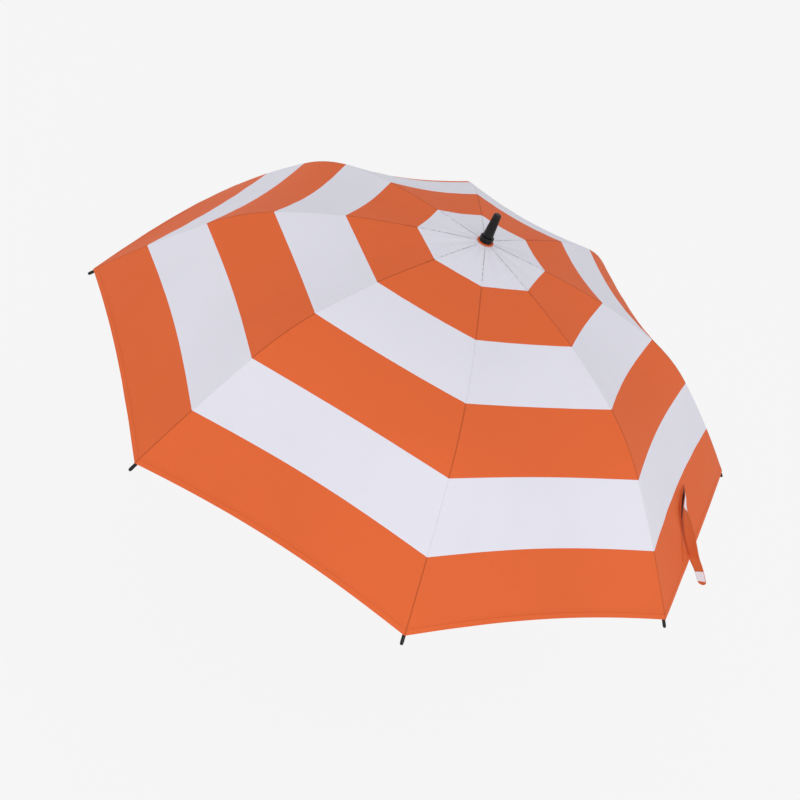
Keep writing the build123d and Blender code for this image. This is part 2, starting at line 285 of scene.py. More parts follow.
rod_black = fibreglass("rib_fibreglass", 0.02)
shaft_black = fibreglass("shaft_fibreglass", 0.028)
nylon = black_plastic("black_nylon", 0.010, 0.42)
ferrule_black = black_plastic("ferrule_plastic", 0.004, 0.36)
tip_black = black_plastic("tip_plastic", 0.004, 0.34)
spring_steel = steel()
grip_foam = foam()
patch_pile = hook_and_loop()
# Painted shade: a dark copy of the orange for the sheet that stands for the shadow inside the slit.
painted_slit_shadow = shadowed_cloth()


# ---------------------------------------------------------------- mesh helpers


def add_mesh(name, points, faces, materials, face_materials=None, uv=None, normals=None, smooth=True):
    mesh = bpy.data.meshes.new(name)
    mesh.from_pydata([tuple(p) for p in points], [], [tuple(f) for f in faces])
    for material in materials:
        mesh.materials.append(material)
    if face_materials is not None:
        mesh.polygons.foreach_set("material_index", np.asarray(face_materials, np.int32))
    if uv is not None:
        layer = mesh.uv_layers.new(name="UVMap")
        corners = np.zeros(len(mesh.loops), np.int32)
        mesh.loops.foreach_get("vertex_index", corners)
        layer.data.foreach_set("uv", np.asarray(uv, np.float32)[corners].ravel())
    if smooth:
        mesh.shade_smooth()
    if normals is not None:
        mesh.normals_split_custom_set_from_vertices([tuple(n) for n in normals])
    mesh.validate()
    mesh.update()
    made = bpy.data.objects.new(name, mesh)
    scene.collection.objects.link(made)
    return made


def sharpen(piece, bevel, angle_degrees=35, segments=2):
    """Rounds the edges that turn by more than the angle, as a moulded part's are."""
    modifier = piece.modifiers.new("rounded_edges", "BEVEL")
    modifier.width = bevel
    modifier.segments = segments
    modifier.limit_method = "ANGLE"
    modifier.angle_limit = math.radians(angle_degrees)
    modifier.harden_normals = False
    return piece


def lathe_part(profile, place=Matrix.Identity(4), sides=28):
    """Points and faces of a turned piece from (radius, height) points up its axis. A profile
    that comes back to its first point makes a ring; any other is capped at both ends."""
    ring_shape = profile[0] == profile[-1]
    rows = profile[:-1] if ring_shape else profile
    points = []
    for radius, height in rows:
        for side in range(sides):
            turn = 2 * math.pi * side / sides
            points.append(place @ Vector((radius * math.cos(turn), radius * math.sin(turn), height)))
    faces = []
    for ring in range(len(profile) - 1):
        low = ring * sides
        high = (ring + 1) % len(rows) * sides
        for side in range(sides):
            after = (side + 1) % sides
            faces.append((low + side, low + after, high + after, high + side))
    if not ring_shape:
        faces.append(tuple(reversed(range(sides))))
        last = (len(rows) - 1) * sides
        faces.append(tuple(range(last, last + sides)))
    return points, faces


def lathe(name, profile, material, place=Matrix.Identity(4), sides=48, crease_degrees=40):
    """Turned piece as an object of its own."""
    points, faces = lathe_part(profile, place, sides)
    made = add_mesh(name, points, faces, [material])
    made.data.set_sharp_from_angle(angle=math.radians(crease_degrees))
    return made


def rounded(profile, radius, steps=4):
    """The profile with each inner corner rounded to about the radius."""
    made = [profile[0]]
    for before, corner, after in zip(profile, profile[1:], profile[2:]):
        before, corner, after = Vector(before), Vector(corner), Vector(after)
        into = (before - corner)
        out = (after - corner)
        reach = min(radius, into.length * 0.45, out.length * 0.45)
        start = corner + into.normalized() * reach
        end = corner + out.normalized() * reach
        for step in range(steps + 1):
            t = step / steps
            point = start * (1 - t) ** 2 + corner * 2 * t * (1 - t) + end * t ** 2
            made.append((point.x, point.y))
    made.append(profile[-1])
    return made


def axis_matrix(origin, direction):
    """Matrix that puts a lathe's axis at origin, along direction."""
    turn = Vector(direction).to_track_quat("Z", "Y").to_matrix().to_4x4()
    return Matrix.Translation(origin) @ turn


def tube_between(points, radius, sides=14):
    """Points and faces of a closed tube along points that lie in the X-Z plane or turn gently."""
    rings = []
    for number, point in enumerate(points):
        before = points[max(number - 1, 0)]
        after = points[min(number + 1, len(points) - 1)]
        along = (after - before).normalized()
        side = Vector((0, 1, 0)) if abs(along.y) < 0.9 else Vector((1, 0, 0))
        up = along.cross(side).normalized()
        side = up.cross(along)
        size = radius(number) if callable(radius) else radius
        for step in range(sides):
            turn = 2 * math.pi * step / sides
            rings.append(point + (side * math.cos(turn) + up * math.sin(turn)) * size)
    faces = []
    for ring in range(len(points) - 1):
        for step in range(sides):
            a = ring * sides + step
            b = ring * sides + (step + 1) % sides
            faces.append((a, a + sides, b + sides, b))
    last = (len(points) - 1) * sides
    faces.append(tuple(range(sides)))
    faces.append(tuple(reversed(range(last, last + sides))))
    return rings, faces


def merged(parts):
    """One list of points and one of faces from several."""
    points, faces = [], []
    for part_points, part_faces in parts:
        base = len(points)
        points.extend(part_points)
        faces.extend(tuple(index + base for index in face) for face in part_faces)
    return points, faces


def turned(points, rib):
    """Points of the first rib's frame, turned round to another rib."""
    spin = Matrix.Rotation((rib - 1) * SECTOR, 3, "Z")
    return [spin @ Vector(p) for p in points]


# ---------------------------------------------------------------- canopy


def along_arcs(start_degrees, arcs, distance, depth=0.0):
    """Radius, height and slope at distances along a chain of arcs, depth below its line."""
    left = np.asarray(distance, float)
    slope = np.full_like(left, math.radians(start_degrees))
    radius = np.zeros_like(left)
    height = np.zeros_like(left)
    for number, (length, degrees) in enumerate(arcs):
        last = number == len(arcs) - 1
        step = left if last else np.minimum(length, left)
        bend = length / math.radians(degrees)
        after = slope + step / bend
        radius = radius + bend * (np.sin(after) - np.sin(slope))
        height = height + bend * (np.cos(after) - np.cos(slope))
        slope = after
        left = left - step
    return radius - depth * np.sin(slope), height - depth * np.cos(slope), slope


def smooth_cloth(share, side):
    """Points of the canopy's surface. share is 0 at the centre and 1 at the hem, and side is
    0 over the rib and -1 or 1 in the middle of the next panel."""
    rib_radius, rib_height, _ = along_arcs(RIB_START_DEGREES, RIB_ARCS, share * RIB_LENGTH)
    mid_radius, mid_height, _ = along_arcs(PANEL_START_DEGREES, PANEL_ARCS, share * PANEL_LENGTH)
    across = 1 - np.abs(side)
    sag = 1 - across ** 2
    straight = rib_radius * math.cos(HALF_SECTOR) / np.cos(across * HALF_SECTOR)
    radius = straight + (mid_radius - rib_radius * math.cos(HALF_SECTOR)) * sag
    height = rib_height + (mid_height - rib_height) * sag
    turn = side * HALF_SECTOR
    return np.stack([radius * np.cos(turn), radius * np.sin(turn), CROWN_Z + height], axis=-1)


def half_width(share):
    """Distance round from a rib to the middle of the next panel."""
    return along_arcs(RIB_START_DEGREES, RIB_ARCS, share * RIB_LENGTH)[0] * HALF_SECTOR


def cross_normal(surface, share, side, share_step=3e-4, side_step=6e-4):
    along = surface(share + share_step, side) - surface(share - share_step, side)
    round_it = surface(share, side + side_step) - surface(share, side - side_step)
    normal = np.cross(along, round_it)
    return normal / np.linalg.norm(normal, axis=-1, keepdims=True)


def relief(share, side, rib):
    """Height of the cloth's small features above its smooth surface."""
    distance = np.abs(side) * half_width(share)
    along = share * RIB_LENGTH
    groove = -0.0002 * np.exp(-((distance / 0.0021) ** 2))
    beside_seam = np.exp(-(((distance - 0.006) / 0.005) ** 2))
    pucker = 0.00022 * np.sin(2 * math.pi * along / 0.014 + rib) * beside_seam
    crease_distance = np.abs(np.abs(side) - 0.52) * half_width(share)
    crease = 0.0007 * np.exp(-((crease_distance / 0.004) ** 2)) * np.exp(-((along / 0.11) ** 2))
    middle_distance = (1 - np.abs(side)) * half_width(share)
    middle = -0.0006 * np.exp(-((middle_distance / 0.006) ** 2)) * np.exp(-((along / 0.13) ** 2))
    waves = np.sin(2 * math.pi * (1.6 * share + 0.37 * rib)) * np.sin(math.pi * np.abs(side)) ** 2
    slack = 0.0006 * waves * np.sin(5 * math.pi * side + 1.1 * rib) * share
    hem = 0.000175 * (1 + np.tanh((along - RIB_LENGTH + HEM_WIDTH) / 0.0012))
    return groove + pucker + crease + middle + slack + hem


def cloth(share, side, rib, lift=0.0):
    """The canopy's upper surface with its small features, and its normal."""
    share = np.asarray(share, float)
    side = np.asarray(side, float)

    def surface(s, v):
        return smooth_cloth(s, v) + cross_normal(smooth_cloth, s, v) * relief(s, v, rib)[..., None]

    normal = cross_normal(surface, share, side)
    return surface(share, side) + normal * np.asarray(lift)[..., None], normal


def flex_line(side):
    """Share at which the cloth lies straight over the ribs' flex line."""
    side = np.asarray(side, float)
    low = np.full_like(side, 0.3)
    high = np.full_like(side, 0.8)
    for _ in range(40):
        middle = (low + high) / 2
        inside = smooth_cloth(middle, side)[..., 0] < FLEX_POINT.x
        low = np.where(inside, middle, low)
        high = np.where(inside, high, middle)
    return low


SEAM_COLUMNS = [0, 0.0006, 0.0012, 0.002, 0.0032, 0.0055, 0.0062]
OPEN_COLUMNS = 20
STRIP_STEPS = 3
STRIP_FILL = 0.35             # width of a strip over its rib's distance from the shaft's axis when closed
FLEX_SHARE = 0.533
FLEX_NARROWING = 0.07
PLEAT_RISE = 0.02             # how far the drawn-in cloth stands out of the valley, over its width
TONGUE_LIFT = -0.0005


def folded_radius(share):
    """Distance of the rib's cloth from the shaft's axis when the umbrella is closed."""
    point = Vector(smooth_cloth(np.array([share]), np.zeros(1))[0])
    if point.x > FLEX_POINT.x:
        point = FLEX_POINT + Matrix.Rotation(FLEX_LIMIT, 3, "Y") @ (point - FLEX_POINT)
    return (CROWN_PIVOT + Matrix.Rotation(FOLD_LIMIT, 3, "Y") @ (point - CROWN_PIVOT)).x


def gore_columns(share, strip):
    """Sides of the columns of a row. The strip beside the seam is as wide as the room between two
    folded ribs; the rest of the cloth begins at its edge."""
    width = float(half_width(share))
    shrink = min(1.0, width / 0.02)
    seam = [d * shrink / width for d in SEAM_COLUMNS]
    fill = STRIP_FILL - FLEX_NARROWING * math.exp(-(((share - FLEX_SHARE) / 0.12) ** 2))
    cut = max(min(fill * folded_radius(share) / width, 0.8), 1.1 * seam[-1])
    if strip:
        return np.array(seam + [seam[-1] + (cut - seam[-1]) * (j + 1) / STRIP_STEPS for j in range(STRIP_STEPS)])
    return np.array([cut + (1 - cut) * j / OPEN_COLUMNS for j in range(OPEN_COLUMNS + 1)])


def constant(share):
    return lambda side: np.full_like(side, share)


def tongue(side):
    """Inner edge of the flap that slides under the inner part of the cloth when the rib flexes."""
    return flex_line(side) - (0.006 + 0.04 * np.abs(side)) / RIB_LENGTH


def just_inside_flex(side):
    return flex_line(side) - 0.0012 / RIB_LENGTH


def gore_rows(spans, strip):
    """Rows of (shares, sides, lift) and the stripe between each row and the next."""
    rows, stripes = [], []
    for start, end, count, stripe in spans:
        first = 0 if not rows else 1
        for step in range(first, count + 1):
            at_rib = float(start(np.zeros(1))[0] + (end(np.zeros(1))[0] - start(np.zeros(1))[0]) * step / count)
            sides = gore_columns(at_rib, strip)
            shares = start(sides) + (end(sides) - start(sides)) * step / count
            under = end in (just_inside_flex,)
            rows.append((shares, sides, TONGUE_LIFT if under else 0.0))
            if step > 0:
                stripes.append(stripe)
    return rows, stripes


def stripe_material(stripe):
    return 0 if stripe % 2 == 0 else 1


def make_gore_piece(name, rib, half, spans, strip):
    """Part of one half of a gore, as a thin closed sheet with its seam allowance and hem."""
    rows, stripes = gore_rows(spans, strip)
    shares = np.array([row[0] for row in rows])
    sides = np.array([row[1] for row in rows]) * half
    lifts = np.array([np.full(len(row[0]), row[2]) for row in rows])
    top, normal = cloth(shares, sides, rib, lifts)
    distance = np.abs(sides) * half_width(shares)
    thick = np.full_like(distance, CLOTH)
    if half > 0:
        thick += 0.0005 * ((distance > 0.0009) & (distance < SEAM_ALLOWANCE - 0.0001))
    thick += 0.0005 * (shares * RIB_LENGTH > RIB_LENGTH - HEM_WIDTH)
    bottom = top - normal * thick[..., None]
    count_rows, count_columns = distance.shape
    lateral = sides * half_width(shares)
    uv = np.stack([lateral, shares * RIB_LENGTH], axis=-1).reshape(-1, 2)
    total = count_rows * count_columns

    def at(row, column, layer):
        return layer * total + row * count_columns + column

    faces, materials = [], []
    for row in range(count_rows - 1):
        main = stripe_material(stripes[row])
        for column in range(count_columns - 1):
            # The two columns over the seam take the darker seam colour: thread, plus painted shade in the groove.
            material = main + 2 if strip and column < 2 else main
            quad = [(row, column), (row + 1, column), (row + 1, column + 1), (row, column + 1)]
            if half < 0:
                quad.reverse()
            faces.append([at(r, c, 0) for r, c in quad])
            faces.append([at(r, c, 1) for r, c in reversed(quad)])
            materials.extend([material, material])
    rim = [(0, c) for c in range(count_columns)]
    rim += [(r, count_columns - 1) for r in range(1, count_rows)]
    rim += [(count_rows - 1, c) for c in range(count_columns - 2, -1, -1)]
    rim += [(r, 0) for r in range(count_rows - 2, 0, -1)]
    for (r0, c0), (r1, c1) in zip(rim, rim[1:] + rim[:1]):
        wall = [at(r0, c0, 0), at(r1, c1, 0), at(r1, c1, 1), at(r0, c0, 1)]
        if half < 0:
            wall.reverse()
        faces.append(wall)
        materials.append(stripe_material(stripes[min(r0, r1, count_rows - 2)]))
    spin = np.array(Matrix.Rotation((rib - 1) * SECTOR, 3, "Z"))
    points = np.concatenate([top.reshape(-1, 3), bottom.reshape(-1, 3)]) @ spin.T
    normals = np.concatenate([normal.reshape(-1, 3), -normal.reshape(-1, 3)]) @ spin.T
    piece = add_mesh(
        name, points, faces, [white, orange, white_thread_and_seam_shade, orange_thread_and_seam_shade], materials,
        np.concatenate([uv, uv]), normals,
    )
    edge_columns = top[:, -1, :]
    rib_columns = top[:, 0, :]
    area = 0.0
    for a, b, c, d in ((top[:-1, :-1], top[1:, :-1], top[1:, 1:], top[:-1, 1:]),):
        area = float((np.linalg.norm(np.cross(c - a, d - b), axis=-1) / 2).sum())
    return piece, rib_columns, edge_columns, area


def draw_in(piece, rib, lines):
    """Works out an axis and anchor for drawing the open part of the cloth up to the edge of its strip as the umbrella
    folds, but does not use them; the piece only gets a mesh of its own.
    """
    cut_line, edge_line = lines
    start, end = Vector(cut_line[0]), Vector(cut_line[-1])
    run = (end - start).normalized()
    out = Vector((-run.z, 0, run.x)).normalized()
    bulge = max((Vector(p) - start).dot(out) for p in cut_line)
    offset = Vector(edge_line[len(edge_line) // 2]) - start
    offset -= run * offset.dot(run)
    axis = offset - out * PLEAT_RISE * offset.length
    axis -= run * axis.dot(run)
    axis, anchor = turned([axis.normalized(), start + out * bulge / 2], rib)
    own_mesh(piece)


# Each gore's half: name, spans from the centre outwards and what it rides on.
first_edge, second_edge, third_edge, fourth_edge, fifth_edge = (constant(edge) for edge in STRIPE_EDGES)
HEM_FOLD = 1 - HEM_WIDTH / RIB_LENGTH
HEM_STEP = 1 - 0.9 * HEM_WIDTH / RIB_LENGTH
GORE_PARTS = [
    ("crown", [(constant(FABRIC_HOLE), first_edge, 20, 0)], "rib"),
    ("inner", [(first_edge, second_edge, 18, 1)], "rib"),
    ("middle", [(second_edge, third_edge, 18, 2), (third_edge, flex_line, 14, 3)], "rib"),
    ("outer", [
        (tongue, just_inside_flex, 4, 3), (just_inside_flex, flex_line, 1, 3), (flex_line, fourth_edge, 12, 3),
        (fourth_edge, fifth_edge, 18, 4), (fifth_edge, constant(HEM_FOLD), 16, 5),
        (constant(HEM_FOLD), constant(HEM_STEP), 1, 5), (constant(HEM_STEP), constant(1), 3, 5),
    ], "rib_outer"),
]
outer_lines = {}


def add_canopy():
    for rib, (half, way), strip in itertools.product(
        range(1, RIBS + 1), ((1, "left"), (-1, "right")), (True, False)
    ):
        for part, spans, body in GORE_PARTS:
            name = f"canopy_{part}_{'strip_' if strip else ''}{rib}_{way}"
            piece, cut_line, edge_line, area = make_gore_piece(name, rib, half, spans, strip)
            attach(piece, f"{body}_{rib}")
            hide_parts(f"canopy_gore_{rib}")
            if not strip:
                draw_in(piece, rib, (cut_line, edge_line))
                if part == "outer":
                    outer_lines[(rib, half)] = (cut_line, edge_line)


add_canopy()


# ---------------------------------------------------------------- ribs


def rod_point(distance, extra_depth=0.0):
    radius, height, _ = along_arcs(RIB_START_DEGREES, RIB_ARCS, distance, ROD_DEPTH + extra_depth)
    return Vector((float(radius), 0, CROWN_Z + float(height)))


def rod_direction(distance):
    slope = float(along_arcs(RIB_START_DEGREES, RIB_ARCS, distance)[2])
    return Vector((math.cos(slope), 0, -math.sin(slope)))


def prism(outline, thickness, middle=0.0):
    """Flat plate from an outline of (x, z) points, with its thickness along Y."""
    count = len(outline)
    points = [Vector((x, middle + thickness / 2, z)) for x, z in outline]
    points += [Vector((x, middle - thickness / 2, z)) for x, z in outline]
    faces = [tuple(range(count)), tuple(reversed(range(count, 2 * count)))]
    for index in range(count):
        after = (index + 1) % count
        faces.append((index, index + count, after + count, after))
    return points, faces


def link_plate(centre, end, eye_radius, end_half_height, hole_radius, thickness, middle=0.0):
    """Plate with a round eye at centre that runs to end; the eye is solid, and hole_radius is not used."""
    run = (end - centre)
    run = Vector((run.x, run.z))
    along = run.normalized()
    across = Vector((-along.y, along.x))
    origin = Vector((centre.x, centre.z))
    outline = []
    for step in range(17):
        turn = math.pi / 2 + math.pi * step / 16
        outline.append(origin + (along * math.cos(turn) + across * math.sin(turn)) * eye_radius)
    outline.append(origin + run - across * end_half_height)
    outline.append(origin + run + across * end_half_height)
    return prism([(p.x, p.y) for p in outline], thickness, middle)


def ring_profile(inner, outer, bottom, top, bead=0.0002):
    """Closed section of a sleeve with rounded rims."""
    return [
        (inner, bottom), (outer - bead, bottom), (outer, bottom + bead), (outer, top - bead),
        (outer - bead, top), (inner, top), (inner, bottom),
    ]


def add_rib_rod(rib):
    """The whole fibreglass rod in one piece, in place of the hinged CAD rib parts, which are hidden."""
    steps = 110
    start, end = 0.022, 0.755
    line = [rod_point(start + (end - start) * step / steps) for step in range(steps + 1)]
    points, faces = tube_between(line, ROD_RADIUS, 16)
    rod = add_mesh(f"rib_rod_{rib}", turned(points, rib), faces, [rod_black])
    rod.data.set_sharp_from_angle(angle=math.radians(50))
    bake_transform(rod)
    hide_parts(f"rib_{rib}", f"rib_outer_{rib}")


def add_rib_fittings(rib):
    """Root fitting with its eye, the stretcher clip with its two cheeks and pin."""
    eye = link_plate(CROWN_PIVOT, rod_point(0.024), 0.0026, 0.0019, 0.0008, 0.0024)
    socket_axis = axis_matrix(rod_point(0.021), rod_direction(0.028))
    socket_profile = [
        (0.0018, 0.0), (0.0023, 0.0), (0.0026, 0.0004), (0.0026, 0.0034), (0.0023, 0.0040), (0.0023, 0.0050),
        (0.0026, 0.0056), (0.0026, 0.0094), (0.0023, 0.0100), (0.0023, 0.0110), (0.0026, 0.0116),
        (0.0026, 0.0146), (0.0022, 0.0151), (0.0018, 0.0151), (0.0018, 0.0),
    ]
    socket = lathe_part(socket_profile, socket_axis)
    points, faces = merged([eye, socket])
    fitting = add_mesh(f"rib_root_{rib}", turned(points, rib), faces, [nylon])
    fitting.data.set_sharp_from_angle(angle=math.radians(35))
    clip_axis = axis_matrix(rod_point(CLIP_AT - 0.006), rod_direction(CLIP_AT))
    sleeve_profile = [
        (0.0018, 0.0), (0.0025, 0.0), (0.0028, 0.0003), (0.0028, 0.0022), (0.0026, 0.0026), (0.0026, 0.0094),
        (0.0028, 0.0098), (0.0028, 0.0117), (0.0025, 0.0120), (0.0018, 0.0120), (0.0018, 0.0),
    ]
    parts = [lathe_part(sleeve_profile, clip_axis)]
    for middle in (0.002, -0.002):
        parts.append(link_plate(CLIP_PIVOT, rod_point(CLIP_AT, 0.001), 0.0024, 0.0024, 0.0008, 0.0012, middle))
    points, faces = merged(parts)
    clip = add_mesh(f"rib_clip_{rib}", turned(points, rib), faces, [nylon])
    clip.data.set_sharp_from_angle(angle=math.radians(35))
    pin_axis = axis_matrix(CLIP_PIVOT - Vector((0, 0.0031, 0)), Vector((0, 1, 0)))
    head = rounded([(0.0, 0.0), (0.0013, 0.0), (0.0013, 0.0004), (0.0008, 0.0005), (0.0008, 0.0057),
                    (0.0013, 0.0058), (0.0013, 0.0062), (0.0, 0.0062)], 0.0002)
    points, faces = lathe_part(head[1:-1], pin_axis, 20)
    pin = add_mesh(f"rib_pin_{rib}", turned(points, rib), faces, [spring_steel])
    pin.data.set_sharp_from_angle(angle=math.radians(50))
    for piece, slot in ((fitting, "fitting"), (clip, "fitting"), (pin, "wire")):
        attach(piece, f"rib_{rib}")


def thread_wraps(distance, count, radius, pitch=0.0007, thickness=0.00035):
    """Loops of thread round the rod."""
    parts = []
    for turn in range(count):
        centre = rod_point(distance + (turn - count / 2) * pitch)
        place = axis_matrix(centre, rod_direction(distance))
        profile = []
        for step in range(9):
            angle = 2 * math.pi * step / 8
            profile.append((radius + thickness * math.cos(angle), thickness * math.sin(angle)))
        parts.append(lathe_part(profile[:-1] + [profile[0]], place, 20))
    return merged(parts)


def add_ties(rib):
    """Thread that ties the cloth to the rod, at two places along it."""
    for name, distance, body in (("inner", 0.25, "rib"), ("outer", 0.575, "rib_outer")):
        points, faces = thread_wraps(distance, 6, ROD_RADIUS + 0.0002)
        tie = add_mesh(f"rib_tie_{name}_{rib}", turned(points, rib), faces, [white_thread_and_seam_shade])
        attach(tie, f"{body}_{rib}")


def add_rib_tip(rib):
    """Moulded cap on the rod's end: a sewing groove, a flange and a rounded nose."""
    place = axis_matrix(rod_point(0.738), rod_direction(0.75))
    nose = [(0.0030, 0.0205), (0.0029, 0.0235), (0.0026, 0.0254), (0.0020, 0.0265), (0.0012, 0.02705),
            (0.0004, 0.0272)]
    body = [
        (0.0018, 0.0), (0.0023, 0.0), (0.0026, 0.0004), (0.0026, 0.0030), (0.0021, 0.0037), (0.0021, 0.0052),
        (0.0026, 0.0059), (0.0027, 0.0110), (0.0030, 0.0120), (0.0030, 0.0135), (0.0028, 0.0145),
    ]
    points, faces = lathe_part(body + nose, place, 32)
    tip = add_mesh(f"rib_cap_{rib}", turned(points, rib), faces, [tip_black])
    tip.data.set_sharp_from_angle(angle=math.radians(48))
    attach(tip, f"rib_outer_{rib}")
    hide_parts(f"rib_tip_{rib}")
    points, faces = thread_wraps(0.7425, 3, 0.0023)
    thread = add_mesh(f"tip_thread_{rib}", turned(points, rib), faces, [orange_thread_and_seam_shade])
    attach(thread, f"rib_outer_{rib}")


def add_stretcher_details(rib):
    """Crimped sleeves at both ends of a stretcher's rod."""
    run = (CLIP_PIVOT - RUNNER_PIVOT).normalized()
    profile = [
        (0.0018, 0.0), (0.0020, 0.0), (0.0022, 0.0003), (0.0022, 0.0040), (0.00195, 0.0046), (0.00195, 0.0052),
        (0.0022, 0.0058), (0.0022, 0.0097), (0.0020, 0.0100), (0.0018, 0.0100), (0.0018, 0.0),
    ]
    parts = []
    for origin, way in ((RUNNER_PIVOT, run), (CLIP_PIVOT, -run)):
        parts.append(lathe_part(profile, axis_matrix(origin + way * 0.0145, way)))
    points, faces = merged(parts)
    sleeves = add_mesh(f"stretcher_sleeves_{rib}", turned(points, rib), faces, [nylon])
    sleeves.data.set_sharp_from_angle(angle=math.radians(35))
    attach(sleeves, f"stretcher_{rib}")


for rib in range(1, RIBS + 1):
    add_rib_rod(rib)
    add_rib_fittings(rib)
    add_ties(rib)
    add_rib_tip(rib)
    add_stretcher_details(rib)


# ---------------------------------------------------------------- stitches


def stitch(centre, along, up, length, width, height):
    """One raised thread: a short bar with tapered ends."""
    side = along.cross(up).normalized() * width / 2
    points, faces = [], []
    sections = [(-0.5, 0.35), (-0.3, 1.0), (0.3, 1.0), (0.5, 0.35)]
    for place, size in sections:
        middle = centre + along * length * place
        points += [middle - side * size, middle - side * size * 0.6 + up * height * size,
                   middle + side * size * 0.6 + up * height * size, middle + side * size]
    for section in range(len(sections) - 1):
        for corner in range(4):
            a = section * 4 + corner
            b = section * 4 + (corner + 1) % 4
            faces.append((a, b, b + 4, a + 4))
    faces.append((3, 2, 1, 0))
    last = (len(sections) - 1) * 4
    faces.append((last, last + 1, last + 2, last + 3))
    return points, faces


def add_hem_stitches(rib, half, way):
    """The row of stitches that holds the hem, a little inside its edge."""
    share = 1 - 0.78 * HEM_WIDTH / RIB_LENGTH
    pitch = 0.0034
    count = int(float(half_width(np.array(share))) / pitch)
    sides = (np.arange(count) + 0.5) / count
    cut = gore_columns(share, True)[-1]
    for strip, chosen in ((True, sides[sides < cut]), (False, sides[sides >= cut])):
        place, normal = cloth(np.full(len(chosen), share), chosen * half, rib)
        ahead, _ = cloth(np.full(len(chosen), share), (chosen + 0.002) * half, rib)
        parts = []
        for point, after, up in zip(place, ahead, normal):
            along = Vector(after - point).normalized()
            parts.append(stitch(Vector(point), along, Vector(up), 0.0024, 0.0005, 0.00028))
        points, faces = merged(parts)
        name = f"hem_stitches_{'strip_' if strip else ''}{rib}_{way}"
        row = add_mesh(name, turned(points, rib), faces, [orange_thread_and_seam_shade])
        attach(row, f"rib_outer_{rib}")
        if not strip:
            draw_in(row, rib, outer_lines[(rib, half)])


def add_seam_tape(rib):
    """Taped seam on the cloth's underside, from the crown to the rod's end."""
    steps = 90
    start, end = 0.020, 0.736
    parts = []
    points, faces = [], []
    for step in range(steps + 1):
        share = (start + (end - start) * step / steps) / RIB_LENGTH
        for side_distance, depth in ((-0.0045, 0.0012), (-0.004, 0.0015), (0.004, 0.0015), (0.0045, 0.0012)):
            width = float(half_width(np.array(share)))
            shrink = min(1.0, width / 0.012)
            side = side_distance * shrink / width
            base, normal = cloth(np.array([share]), np.array([side]), rib)
            middle = (np.abs(side_distance) < 0.0042)
            points.append(Vector(base[0] - normal[0] * (depth if middle else 0.0004)))
    for step in range(steps):
        for column in range(3):
            a = step * 4 + column
            faces.append((a, a + 1, a + 5, a + 4))
    parts.append((points, faces))
    points, faces = merged(parts)
    tape = add_mesh(f"seam_tape_{rib}", turned(points, rib), faces, [white])
    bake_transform(tape)


for rib in range(1, RIBS + 1):
    add_hem_stitches(rib, 1, "left")
    add_hem_stitches(rib, -1, "right")


# ---------------------------------------------------------------- top: washer, collar, ferrule

washer_low, washer_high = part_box("crown_washer")
collar_low, collar_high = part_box("ferrule_collar")
ferrule_low, ferrule_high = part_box("ferrule")
shaft_low, shaft_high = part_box("shaft")
SHAFT_RADIUS = shaft_high.x


def add_washer():
    """Small disc of the orange cloth under the ferrule, hemmed by a row of stitches."""
    outer = washer_high.x + 0.0008
    bottom, top = washer_low.z, washer_high.z
    profile = [(SHAFT_RADIUS, bottom)]
    profile += [(outer - 0.0004, bottom - 0.0004), (outer, bottom), (outer, top - 0.0004), (outer - 0.0006, top - 0.0002)]
    profile += [(outer - 0.0016, top), (outer - 0.003, top - 0.0002), (SHAFT_RADIUS, top), (SHAFT_RADIUS, bottom)]
    washer = lathe("cloth_washer", profile, orange, sides=96, crease_degrees=60)
    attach(washer, ROOT)
    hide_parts("crown_washer")
    parts = []
    count = 26
    for number in range(count):
        turn = 2 * math.pi * number / count
        out = Vector((math.cos(turn), math.sin(turn), 0))
        along = Vector((-out.y, out.x, 0))
        centre = out * (outer - 0.0016) + Vector((0, 0, top))
        parts.append(stitch(centre, along, Vector((0, 0, 1)), 0.0022, 0.0005, 0.0002))
    points, faces = merged(parts)
    row = add_mesh("washer_stitches", points, faces, [orange_thread_and_seam_shade])
    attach(row, ROOT)


def add_crown_disc():
    """Reinforcing disc of cloth under the gores' inner edges."""
    inner, outer = 0.0078, 0.0165
    rings = 6
    sides = 64
    points = []
    for layer in (0, 1):
        for ring in range(rings + 1):
            radius = inner + (outer - inner) * ring / rings
            _, height, _ = along_arcs(PANEL_START_DEGREES, PANEL_ARCS, radius)
            for side in range(sides):
                turn = 2 * math.pi * side / sides
                depth = 0.0009 + 0.0003 * layer
                points.append((radius * math.cos(turn), radius * math.sin(turn), CROWN_Z + float(height) - depth))
    faces = []
    total = (rings + 1) * sides
    for ring in range(rings):
        for side in range(sides):
            a = ring * sides + side
            b = ring * sides + (side + 1) % sides
            faces.append((a, a + sides, b + sides, b))
            faces.append((a + total, b + total, b + sides + total, a + sides + total))
    for ring, flip in ((0, False), (rings, True)):
        for side in range(sides):
            a = ring * sides + side
            b = ring * sides + (side + 1) % sides
            wall = [a, b, b + total, a + total]
            faces.append(wall[::-1] if flip else wall)
    disc = add_mesh("crown_disc", points, faces, [white])
    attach(disc, ROOT)


